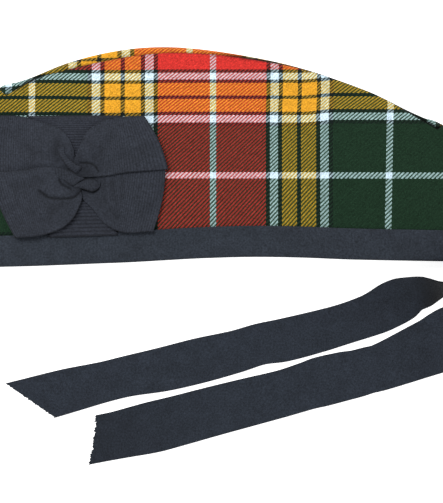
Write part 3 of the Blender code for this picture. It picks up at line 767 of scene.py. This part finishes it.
class ClothFinish:
    """A cloth's material, the nodes that are added to it, its weave's two coordinates and
    its place on the cap."""

    def __init__(self, name, **looks):
        self.material = bpy.data.materials.new(name)
        self.material.use_nodes = True
        self.tree = self.material.node_tree
        self.surface = self.tree.nodes["Principled BSDF"]
        set_inputs(self.surface, **looks)
        weave = self.add("ShaderNodeUVMap", uv_map="weave").outputs[0]
        self.u, self.v = self.add("ShaderNodeSeparateXYZ", [(0, weave)]).outputs[:2]
        self.place = self.add("ShaderNodeTexCoord").outputs["Object"]

    def feed(self, socket, value):
        if isinstance(value, bpy.types.NodeSocket):
            self.tree.links.new(value, socket)
        else:
            socket.default_value = value

    def add(self, kind, inputs=(), **settings):
        node = self.tree.nodes.new(kind)
        for key, value in settings.items():
            setattr(node, key, value)
        for socket, value in inputs:
            self.feed(node.inputs[socket], value)
        return node

    def calc(self, operation, *values):
        return self.add("ShaderNodeMath", enumerate(values), operation=operation).outputs[0]

    def between(self, amount, first, second):
        """A number between two others."""
        return self.calc("MULTIPLY_ADD", amount, self.calc("SUBTRACT", second, first), first)

    def blend(self, kind, amount, first, second):
        inputs = ((0, amount), (6, first), (7, second))
        return self.add("ShaderNodeMix", inputs, data_type="RGBA", blend_type=kind).outputs[2]

    def tint(self, over, under, tartan):
        """Colour of a thread beside the ones it crosses, with painted bounce light and shade: a
        dark thread takes more of a bright one's colour than the other way round, and is drawn
        darker."""
        grey_over = self.add("ShaderNodeRGBToBW", [(0, over)]).outputs[0]
        grey_under = self.add("ShaderNodeRGBToBW", [(0, under)]).outputs[0]
        limit = self.calc("MULTIPLY", grey_under, darker_share)
        darker = self.calc("LESS_THAN", grey_over, limit)
        share = self.between(darker, tartan.bright_tint, tartan.dark_tint)
        main = self.add("ShaderNodeGamma", [(0, over), (1, self.calc("SUBTRACT", 1.0, share))])
        rest = self.add("ShaderNodeGamma", [(0, under), (1, share)])
        both = self.blend("MULTIPLY", 1.0, main.outputs[0], rest.outputs[0])
        return self.darken(both, self.between(darker, 1.0, tartan.dark_level))

    def darken(self, colour, amount):
        """Multiplies a colour by a number."""
        grey = self.add("ShaderNodeCombineColor", [(0, amount), (1, amount), (2, amount)])
        return self.blend("MULTIPLY", 1.0, colour, grey.outputs[0])

    def speckle(self, at, scale, gain, base, detail=2.0):
        """Noise turned into brightness."""
        inputs = (("Vector", at), ("Scale", scale), ("Detail", detail))
        made = self.add("ShaderNodeTexNoise", inputs).outputs[0]
        return self.calc("MULTIPLY_ADD", made, gain, base)

    def finish(self, colour, height, bump_strength, *shades):
        """Multiplies the colour by the mesh's painted shade, the painted shades and the tones, and
        adds the relief.
        """
        painted_shade_amount = self.add("ShaderNodeAttribute", attribute_name="fold_shade").outputs["Fac"]
        shade_and_tone = self.calc("SUBTRACT", 1.0, painted_shade_amount)
        for shade in shades:
            shade_and_tone = self.calc("MULTIPLY", shade_and_tone, shade)
        bump = self.add("ShaderNodeBump", [("Strength", bump_strength),
                                           ("Distance", bump_distance), ("Height", height)])
        self.feed(self.surface.inputs["Base Color"], self.darken(colour, shade_and_tone))
        self.feed(self.surface.inputs["Normal"], bump.outputs[0])
        return self.material


def stripe_ramp(cloth, thread, tartan):
    """Colour of a thread of the sett, by its number."""
    turned = cloth.calc("PINGPONG", cloth.calc("ADD", thread, 0.5), sett_threads)
    share = cloth.calc("DIVIDE", turned, sett_threads)
    ramp = cloth.add("ShaderNodeValToRGB", [(0, share)])
    ramp.color_ramp.interpolation = "CONSTANT"
    stops = ramp.color_ramp.elements
    while len(stops) < len(sett_stripes):
        stops.new(1.0)
    for stop, (start, colour) in zip(stops, sett_stripes):
        stop.position = start / sett_threads
        stop.color = (*getattr(tartan, colour), 1.0)
    return ramp.outputs[0]


def yarn(cloth, across, along):
    """Rounded height of a yarn that floats over two others."""
    edge = cloth.calc("MULTIPLY_ADD", across, 2.0, -1.0)
    round_share = cloth.calc("SUBTRACT", 1.0, cloth.calc("MULTIPLY", edge, edge))
    arch = cloth.calc("SINE", cloth.calc("MULTIPLY", along, math.pi / 2.0))
    arched = cloth.calc("MULTIPLY_ADD", arch, yarn_arch, 1.0 - yarn_arch)
    return cloth.calc("MULTIPLY", round_share, arched)


def wool_tartan(name, tartan):
    """Wool in a two and two twill: the warp or the weft is on top, by turns, along
    diagonals that rise towards the back."""
    cloth = ClothFinish(name, Roughness=0.92, Sheen_Weight=0.03, Sheen_Roughness=0.6,
                        Specular_IOR_Level=0.05)
    warp, weft = cloth.u, cloth.v
    warp_thread, weft_thread = cloth.calc("FLOOR", warp), cloth.calc("FLOOR", weft)
    warp_share, weft_share = cloth.calc("FRACT", warp), cloth.calc("FRACT", weft)
    lift = cloth.calc("FLOORED_MODULO", cloth.calc("SUBTRACT", warp_thread, weft_thread),
                      twill_repeat)
    on_top = cloth.calc("LESS_THAN", lift, twill_float)
    warp_colour = stripe_ramp(cloth, warp_thread, tartan)
    weft_colour = stripe_ramp(cloth, weft_thread, tartan)
    colour = cloth.blend("MIX", on_top, cloth.tint(weft_colour, warp_colour, tartan),
                         cloth.tint(warp_colour, weft_colour, tartan))
    warp_float = cloth.calc("ADD", cloth.calc("SUBTRACT", 1.0, lift), weft_share)
    weft_float = cloth.calc("ADD", cloth.calc("SUBTRACT", lift, 2.0), warp_share)
    height = cloth.between(on_top, yarn(cloth, weft_share, weft_float),
                           yarn(cloth, warp_share, warp_float))
    streak_x = cloth.between(on_top, cloth.calc("MULTIPLY", warp, streak_run),
                             cloth.calc("MULTIPLY", warp_thread, streak_warp_step))
    streak_y = cloth.between(on_top, cloth.calc("MULTIPLY", weft_thread, streak_weft_step),
                             cloth.calc("MULTIPLY", weft, streak_run))
    streak_at = cloth.add("ShaderNodeCombineXYZ", [(0, streak_x), (1, streak_y)]).outputs[0]
    return cloth.finish(colour, height, wool_bump,
                        # painted shade in the gaps between the yarns
                        cloth.calc("MULTIPLY_ADD", height, yarn_gain, yarn_base),
                        # painted shade of the twill's diagonals
                        cloth.calc("MULTIPLY_ADD", on_top, warp_gain, warp_base),
                        cloth.speckle(streak_at, scale=1.0, gain=1.1, base=0.45),
                        cloth.speckle(cloth.place, scale=1100.0, gain=1.2, base=0.40))


def grosgrain(name, colour, rib_depth, rib_round=0.6):
    """Ribbed ribbon: u counts its ribs, v the warp threads that run over them."""
    cloth = ClothFinish(name, Roughness=0.80, Sheen_Weight=0.02, Sheen_Roughness=0.5,
                        Specular_IOR_Level=0.15)
    rib, thread = [
        cloth.calc("ABSOLUTE", cloth.calc("SINE", cloth.calc("MULTIPLY", count, math.pi)))
        for count in (cloth.u, cloth.v)
    ]
    threads = cloth.calc("MULTIPLY_ADD", thread, rib_thread_relief, 1.0 - rib_thread_relief)
    height = cloth.calc("MULTIPLY", cloth.calc("POWER", rib, rib_round), threads)
    # painted shade in the grooves between the ribs
    groove = cloth.calc("MULTIPLY_ADD", height, rib_depth,
                        rib_brightness - rib_depth * rib_middle)
    return cloth.finish((*colour, 1.0), height, rib_bump, groove,
                        cloth.speckle(cloth.place, scale=950.0, gain=1.8, base=0.10, detail=3.0),
                        cloth.speckle(cloth.place, scale=120.0, gain=0.60, base=0.70))


class BuildStep:
    """What the steps that build the cap share."""

    def execute(self, context):
        self.build(context.scene)
        return {"FINISHED"}


# The crown

class TartanLay:
    """Where the tartan's threads lie on the crown."""

    def __init__(self):
        self.marks = SmoothCurve(*zip(*warp_marks), run_on=True)
        self.rows = SmoothCurve(*zip(*weft_rows), run_on=True)

    def warp(self, x, y):
        """Warp threads, which lean a little near the back seam and under the ridge."""
        lean = lean_slope * (lean_line - y) * ease(x, *lean_zone)
        under_ridge = (ridge_shift * ease(y, *ridge_shift_y_zone)
                       * ease(x, *ridge_shift_x_zone))
        return self.marks(x + lean - under_ridge)

    def weft(self, x, y):
        """Weft threads, which lie lower beside the cockade and higher towards the back."""
        rise = back_rise * ease(x, *back_rise_x_zone) * ease(y, *back_rise_y_zone)
        before, behind = cockade_sag_zones
        beside = ease(x, *before) * (1.0 - ease(x, *behind))
        sag = cockade_sag * beside * (1.0 - cockade_sag_fade * ease(y, *cockade_sag_y_zone))
        return self.rows(y - rise + sag)


def build_side(form, lay, name, node, start, end, seam_last, rows, finish):
    """A side panel: start and end give the places of its two edges, and seam_last tells
    whether the seam is the second of them."""

    def point(u, v):
        along = crowded(u)
        first = start(along)
        last = end(along)
        place = mix(first, last, v)
        here = form.point(along, place)
        x, y = here.x, here.y
        to_seam = (1.0 - v if seam_last else v) * (last - first)
        shade = 0.0
        if to_seam < seam_zone:
            depth, shade = form.seam_groove(along, to_seam / form.step(along, place, 1.0))
            here = here - form.normal(along, place) * depth
        if place < upper_panel_end:
            here.z += form.panel_relief(x, y)
        return here, (lay.warp(x, y), lay.weft(x, y)), shade
    piece = cloth_grid(name, rows, form.columns, point, finish)
    fit(piece, node, form.panel_wall, -1.0)


def side_edge(form, seam, side):
    """Edge of a side panel: at the seam, or closed on itself past the top piece."""

    @lru_cache(maxsize=None)
    def place(along):
        limit = seam(along) if from_end(along) >= top_start else fold_middle
        return limit + side * form.step(along, limit, form.seam_gap * 0.5)
    return place


def build_top(form, lay, finish):
    """The long pointed top piece, folded down between the two ridges."""
    row_places = SmoothCurve(top_row_shares, top_place_shares)

    @lru_cache(maxsize=None)
    def section(along):
        """Places of one section's points, and the length of cloth up to each."""
        start = form.upper_seam(along)
        end = form.lower_seam(along)
        start += form.step(along, start, form.seam_gap * 0.5)
        end -= form.step(along, end, form.seam_gap * 0.5)
        places = [mix(start, end, row_places(row / top_rows)) for row in range(top_rows + 1)]
        points = [form.point(along, place) for place in places]
        arcs = [0.0]
        for before, after in zip(points, points[1:]):
            arcs.append(arcs[-1] + (after - before).length)
        return places, points, arcs

    def point(u, v):
        along = mix(top_start, 1.0 - top_start, u)
        places, points, arcs = section(along)
        row = round(v * top_rows)
        x = points[row].x
        depth, shade = form.seam_groove(along, min(arcs[row], arcs[-1] - arcs[row]))
        here = points[row] - form.normal(along, places[row]) * depth
        from_first = (points[0].y - top_first_y + arcs[row]) / top_thread
        front = top_front_wefts * (1.0 - ease(x, *top_front_zone))
        weft = top_first_weft + from_first + front
        return here, (lay.warp(x + top_warp_shift, 0.0), weft), shade
    piece = cloth_grid("top_piece", top_rows, form.columns, point, finish)
    fit(piece, "crown_top", form.top_wall, -1.0)


class CAP_OT_build_crown(BuildStep, bpy.types.Operator):
    """Builds the two side panels and the folded top piece in wool tartan"""
    bl_idname = "tartan_cap.build_crown"
    bl_label = "Crown"

    def build(self, scene):
        lay = TartanLay()
        form = CrownForm(scene)
        side_wool = wool_tartan("wool_tartan_side", scene.cap_tartan)
        top_wool = wool_tartan("wool_tartan_top", scene.cap_tartan)
        build_side(form, lay, "left_side", "crown_left", lambda along: 0.0,
                   side_edge(form, form.upper_seam, -1.0), True, form.rows, side_wool)
        build_side(form, lay, "right_side", "crown_right",
                   side_edge(form, form.lower_seam, 1.0), lambda along: section_end, False,
                   form.rows // 2, side_wool)
        build_top(form, lay, top_wool)


# The binding

def rim_ring(form, height, offset):
    """Closed ring round the rim's outer face, at a height above its edge."""
    ring = []
    last = 2 * form.columns + 1
    spread = 1.0 + offset * 2.0 / form.cap_length
    over = max(height, 0.0)
    for i in range(last + 1):
        upper = i <= form.columns
        along = crowded((i if upper else last - i) / form.columns)
        edge = form.rim_y(along)
        if upper:
            z = form.upper_height(along, over / (form.ridge_y(along) - edge)) + offset
        else:
            z = form.lower_height(along, y=edge + over) - offset
        ring.append(Vector((form.x_at(along) * spread, edge + height, z)))
    return ring


class CAP_OT_build_binding(BuildStep, bpy.types.Operator):
    """Builds the grosgrain binding that is folded over the rim"""
    bl_idname = "tartan_cap.build_binding"
    bl_label = "Binding"

    def build(self, scene):
        ribbons = scene.cap_ribbons
        form = CrownForm(scene)
        gap = form.clearance
        inner = -(form.panel_wall + gap)
        width = form.band_width
        profile = [(width * share, inner) for share in binding_inside]
        profile += [(binding_turn_in, inner)]
        profile += [(gap * below, inner * depth) for below, depth in binding_edge]
        profile += [(binding_turn_out, gap)]
        profile += [(width * share, gap) for share in binding_outside]
        rings = [rim_ring(form, height, offset) for height, offset in profile]
        count = len(rings[0])
        lengths = [0.0]
        for i in range(count):
            lengths.append(lengths[-1] + (rings[-1][(i + 1) % count] - rings[-1][i]).length)

        def point(u, v):
            row = round(v * (len(rings) - 1))
            index = round(u * count)
            threads = profile[row][0] / binding_thread
            return (rings[row][index % count].copy(),
                    (lengths[index] / ribbons.fine_rib, threads), 0.0)
        finish = grosgrain("binding_grosgrain", ribbons.binding_colour, rib_depth=0.30)
        cloth = Cloth("rim_binding")
        cloth.add_grid(len(rings) - 1, count, point)
        cloth.close_ring()
        fit(cloth.make(finish), "rim_band", ribbons.band_wall, 1.0)


# The cockade

class CockadePlace:
    """Where the cockade's shares lie on the cap, and how high its layers stand."""

    def __init__(self, form, ribbons):
        self.form = form
        self.front = -form.cap_length / 2.0 + ribbons.cockade_inset
        self.low = form.rim_line + ribbons.cockade_seat
        self.length = ribbons.cockade_length
        self.height = ribbons.cockade_height
        self.layer = ribbons.cockade_layer
        self.loft = ribbons.cockade_loft
        self.middle = self.spot(0.5, ribbons.cockade_rise / ribbons.cockade_height)

    def spot(self, along, up):
        return self.front + along * self.length, self.low + up * self.height

    def lift(self, x, y, layer):
        """Height of a layer over the cap, puffed up between the knot and the ends."""
        away = math.hypot((x - self.middle[0]) / (self.length / 2.0),
                          (y - self.middle[1]) / (self.height / 2.0))
        puff = self.loft * math.sin(math.pi * clamp(away, 0.0, 1.0))
        return self.form.surface(x, y) + self.form.clearance + puff + layer * self.layer

    def centre_shade(self, x, y):
        """Painted shade in the gathers round the knot."""
        away = math.hypot(x - self.middle[0], y - self.middle[1])
        return gather_shade * (1.0 - ease(away, *gather_zone))

    def crease(self, piece, x, y):
        """Depth of the creases of one piece at a point, and the share of painted shade in them."""
        depth = 0.0
        shade = 0.0
        for crease in cockade_creases:
            if crease.piece != piece:
                continue
            away = self.away_from(crease.points, x, y) / crease.spread
            if away <= crease_limit:
                pressed = math.exp(-away * away)
                depth += crease.depth * pressed
                shade = max(shade, crease.shade * pressed)
        return depth, shade

    def away_from(self, points, x, y):
        here = Vector((x, y))
        spots = [Vector(self.spot(*point)) for point in points]
        nearest = 1.0
        for first, second in zip(spots, spots[1:]):
            run = second - first
            share = clamp((here - first).dot(run) / run.length_squared, 0.0, 1.0)
            nearest = min(nearest, (first + run * share - here).length)
        return nearest


def build_ribbon_loop(cockade, loop, layer, rib, ply, finish):
    """A flattened ribbon loop: out from the knot underneath, round one end, over the
    whole top, round the other end and back to the knot."""
    last = len(loop.folds) - 1
    curves = column_curves(loop.folds, range(len(loop.folds)))
    room = cockade.layer - ply * 2.0

    def spot(share, v):
        high_along, high_up, low_along, low_up = (
            curve(share * last) for curve in curves.values())
        out = loop.bulge * math.sin(math.pi * v) * (2.0 * share - 1.0) ** loop_bulge_power
        return mix(low_along, high_along, v) + out, mix(low_up, high_up, v)

    def point(u, v):
        half = min(u, 1.0 - u)
        flat = 0.25 - loop_turn
        turn = 0.0
        if half >= 0.25:
            share = (u - 0.25) * 2.0
            over = 1.0
        else:
            turn = max(half - flat, 0.0) / loop_turn
            share = mix(0.5, 0.0, min(half / flat, 1.0))
            share = share if u < 0.5 else 1.0 - share
            over = 0.5 - 0.5 * math.cos(math.pi * turn)
        x, y = cockade.spot(*spot(share, v))
        if 0.0 < turn < 1.0:
            ahead = Vector(cockade.spot(*spot(clamp(share, loop_turn, 1.0 - loop_turn), v)))
            outward = math.sin(math.pi * turn) * room * 0.5
            push = (Vector((x, y)) - ahead).normalized() * outward
            x += push.x
            y += push.y
        z = cockade.lift(x, y, layer) + over * room
        shade = 0.0
        if over == 1.0:
            depth, shade = cockade.crease(loop.piece, x, y)
            z -= min(depth, room * crease_room)
            z += loop.relief * abs(math.sin(math.pi * share * ribs))
        # painted shade along the ribbon's edges and in the gathers round the knot
        edge = loop_edge_shade * (1.0 - ease(min(v, 1.0 - v), 0.0, loop_edge))
        shade = max(shade, edge, cockade.centre_shade(x, y))
        return Vector((x, y, z)), (share * ribs, v * selvage_threads), shade
    middle = [Vector(cockade.spot(*spot(i / loop_steps, 0.5))) for i in range(loop_steps + 1)]
    ribs = sum((b - a).length for a, b in zip(middle, middle[1:])) / rib
    made = cloth_grid(loop.name, loop.rows, loop.columns, point, finish)
    fit(made, "cockade_" + loop.piece, ply, 1.0, even=False)


def build_knot(cockade, ribbons, finish):
    """The knot's three wraps, small bulging strips of ribbon with tucked ends."""
    cloth = Cloth("cockade_knot_wrap")
    rising, sinking = knot_tucks
    for wraps in (knot_strip, knot_lozenge, knot_tongue):
        curves = column_curves(wraps, range(len(wraps)))

        def point(u, v):
            high_along, high_up, low_along, low_up, layer = (
                curve(u * (len(wraps) - 1)) for curve in curves.values())
            x, y = cockade.spot(mix(low_along, high_along, v), mix(low_up, high_up, v))
            tuck = ease(u, *rising) * (1.0 - ease(u, *sinking))
            bulge = math.sin(math.pi * clamp(v, 0.0, 1.0)) ** knot_round
            z = cockade.lift(x, y, layer) + ribbons.knot_rise * bulge * tuck
            # painted shade along the wraps' edges and over the whole knot
            edge = knot_edge_shade * (1.0 - ease(min(v, 1.0 - v), 0.0, knot_edge)) * tuck
            return Vector((x, y, z)), (u * knot_ribs, v * knot_threads), max(edge, knot_shade)
        cloth.add_grid(knot_rows, knot_columns, point)
    fit(cloth.make(finish), "cockade_knot", ribbons.cockade_ply, -1.0,
        even=False)


class CAP_OT_build_cockade(BuildStep, bpy.types.Operator):
    """Builds the three ribbon loops of the cockade and the knot that holds them"""
    bl_idname = "tartan_cap.build_cockade"
    bl_label = "Cockade"

    def build(self, scene):
        ribbons = scene.cap_ribbons
        cockade = CockadePlace(CrownForm(scene), ribbons)
        bow_cloth = grosgrain("cockade_grosgrain", ribbons.cockade_colour, rib_depth=0.55)
        loop_cloth = grosgrain("cockade_ribbed_grosgrain", ribbons.loop_colour, rib_depth=0.50,
                               rib_round=1.4)
        for layer, loop in enumerate(ribbon_loops):
            rib = ribbons.loop_rib if loop.ribbed else ribbons.bow_rib
            finish = loop_cloth if loop.ribbed else bow_cloth
            build_ribbon_loop(cockade, loop, layer, rib, ribbons.cockade_ply, finish)
        build_knot(cockade, ribbons, bow_cloth)


# The tails

class TailPath:
    """The line that a tail follows, its width and its tilt."""

    def __init__(self, form, ribbons, bends, seat):
        self.form = form
        self.width = ribbons.ribbon_width
        self.seat = seat
        knots = [0.0]
        for first, second in zip(bends, bends[1:]):
            run = Vector(((second.along - first.along) * form.cap_length,
                          (second.below - first.below) * self.width))
            knots.append(knots[-1] + run.length)
        self.length = knots[-1]
        self.curves = column_curves(bends, knots)

    def middle(self, at):
        along = self.curves["along"](at)
        return Vector((along * self.form.cap_length + self.seat * ease(along, *tail_seat_zone),
                       self.form.rim_line - self.curves["below"](at) * self.width, 0.0))

    def frame(self, amount):
        """Middle, heading, side direction, width, tilt and shade at a share of the length."""
        at = amount * self.length
        run = (self.middle(min(at + tail_probe, self.length))
               - self.middle(max(at - tail_probe, 0.0)))
        heading = run.normalized()
        side = Vector((-heading.y, heading.x, 0.0))
        return (self.middle(at), heading, side, self.curves["width"](at) * self.width,
                math.radians(clamp(self.curves["tilt"](at), 0.0, 90.0)), self.curves["shade"](at))


def build_tail(path, name, node, slant, ribbons, finish):
    frame_at = lru_cache(maxsize=None)(path.frame)
    coming, going = tail_swell_zones

    def point(u, v):
        middle, heading, side, width, lean, dark = frame_at(u)
        across = (v - 0.5) * width
        raised = v * width * math.sin(lean)
        bow = cut_bow * (1.0 - (2.0 * v - 1.0) ** 2) if slant > 0.0 else 0.0
        back = (slant * width * (v - 0.5) + bow) * max(1.0 - u * cut_reach, 0.0)
        fray = waves(v, slant, fray_rates) * fray_height * max(1.0 - u * fray_reach, 0.0)
        here = middle + heading * (back + fray) + side * across * math.cos(lean)
        swell = 0.5 + 0.5 * waves(u, v, (*tail_swell_rates, slant * tail_swell_slice))
        here.z += raised + tail_swell * swell * ease(u, *coming) * (1.0 - ease(u, *going))
        # painted shade along the tail's edges, and the painted shade of the bends' table
        edge = tail_edge_shade * (1.0 - ease(min(v, 1.0 - v) * width, 0.0, tail_edge))
        return (here, (u * path.length / ribbons.fine_rib, v * selvage_threads),
                max(edge, dark))
    made = cloth_grid(name, tail_rows, tail_columns, point, finish)
    return fit(made, node, ribbons.ribbon_wall, 1.0)


class CAP_OT_build_tails(BuildStep, bpy.types.Operator):
    """Builds the two ribbon tails that are sewn to the back of the rim"""
    bl_idname = "tartan_cap.build_tails"
    bl_label = "Tails"

    def build(self, scene):
        ribbons = scene.cap_ribbons
        form = CrownForm(scene)
        finish = grosgrain("tail_grosgrain", ribbons.tail_colour, rib_depth=0.24)
        first_seat = sewn_layer + form.clearance * first_seat_gaps
        second_seat = first_seat + sewn_layer + form.clearance
        tails = (
            ("upper_tail", "tail_upper", tail_upper_bends, ribbons.cut_slant_upper, first_seat),
            ("lower_tail", "tail_lower", tail_lower_bends, ribbons.cut_slant_lower, second_seat),
        )
        for name, node, bends, slant, seat in tails:
            path = TailPath(form, ribbons, bends, seat)
            tail = build_tail(path, name, node, slant, ribbons, finish)


# The stage

white_light = (1.0, 1.0, 1.0, 1.0)
sensor_width = 36.0
view_middle = (0.0006, -0.0579)  # the camera stands over this point
view_end = 30.0


class CAP_OT_build_stage(BuildStep, bpy.types.Operator):
    """Builds the pale floor, the soft lamps and the camera straight above"""
    bl_idname = "tartan_cap.build_stage"
    bl_label = "Stage"

    def build(self, scene):
        stage = scene.cap_stage
        bm = bmesh.new()
        bmesh.ops.create_grid(bm, x_segments=1, y_segments=1, size=stage.floor_size / 2.0)
        mesh = bpy.data.meshes.new("floor")
        bm.to_mesh(mesh)
        bm.free()
        paint = bpy.data.materials.new("floor_paper")
        paint.use_nodes = True
        set_inputs(paint.node_tree.nodes["Principled BSDF"], Roughness=0.9,
                   Base_Color=(*stage.floor_colour, 1.0), Emission_Color=white_light,
                   Emission_Strength=stage.floor_glow)
        mesh.materials.append(paint)
        self.add(scene, "floor", mesh)

        world = bpy.data.worlds.new("studio")
        world.use_nodes = True
        set_inputs(world.node_tree.nodes["Background"], Color=white_light,
                   Strength=stage.sky_strength)
        scene.world = world

        self.add_lamp(scene, "key_lamp", stage.key_power, size=1.1, spot=(-0.7, 0.8, 1.7))
        self.add_lamp(scene, "fill_lamp", stage.fill_power, size=1.4, spot=(1.2, -0.9, 1.6))

        lens = bpy.data.cameras.new("camera")
        lens.sensor_width = sensor_width
        lens.lens = sensor_width * stage.camera_distance / stage.view_height
        lens.clip_end = view_end
        scene.camera = self.add(scene, "camera", lens)
        scene.camera.location = (*view_middle, stage.camera_distance + stage.focus_plane)
        scene.view_settings.view_transform = "Standard"

    def add(self, scene, name, data):
        made = bpy.data.objects.new(name, data)
        scene.collection.objects.link(made)
        return made

    def add_lamp(self, scene, name, power, size, spot):
        light = bpy.data.lights.new(name, "AREA")
        light.energy = power
        light.shape = "DISK"
        light.size = size
        lamp = self.add(scene, name, light)
        lamp.location = spot
        lamp.rotation_mode = "QUATERNION"
        lamp.rotation_quaternion = Vector(spot).to_track_quat("Z", "Y")
        lamp.visible_camera = False


class CAP_PT_sidebar(bpy.types.Panel):
    """Lists the cap's settings and the steps that build it"""
    bl_idname = "CAP_PT_sidebar"
    bl_label = "Tartan Cap"
    bl_space_type = "VIEW_3D"
    bl_region_type = "UI"
    bl_category = "Tartan Cap"

    def draw(self, context):
        scene = context.scene
        for settings in (scene.cap_crown, scene.cap_tartan, scene.cap_ribbons, scene.cap_stage):
            box = self.layout.box()
            for name in settings.__annotations__:
                box.prop(settings, name)
        for step in build_steps:
            self.layout.operator(step.bl_idname)


build_steps = (
    CAP_OT_build_stage,
    CAP_OT_build_crown,
    CAP_OT_build_binding,
    CAP_OT_build_cockade,
    CAP_OT_build_tails,
)
settings_groups = {
    "cap_crown": CapCrownSettings,
    "cap_tartan": CapTartanSettings,
    "cap_ribbons": CapRibbonSettings,
    "cap_stage": CapStageSettings,
}


classes = (*settings_groups.values(), *build_steps, CAP_PT_sidebar)


def register():
    for made in classes:
        bpy.utils.register_class(made)
    for name, group in settings_groups.items():
        setattr(bpy.types.Scene, name, PointerProperty(type=group))


def unregister():
    for name in settings_groups:
        delattr(bpy.types.Scene, name)
    for made in reversed(classes):
        bpy.utils.unregister_class(made)


def main():
    register()
    bpy.ops.tartan_cap.build_stage()
    bpy.ops.tartan_cap.build_crown()
    bpy.ops.tartan_cap.build_binding()
    bpy.ops.tartan_cap.build_cockade()
    bpy.ops.tartan_cap.build_tails()
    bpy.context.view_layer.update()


if __name__ == "__main__":
    main()
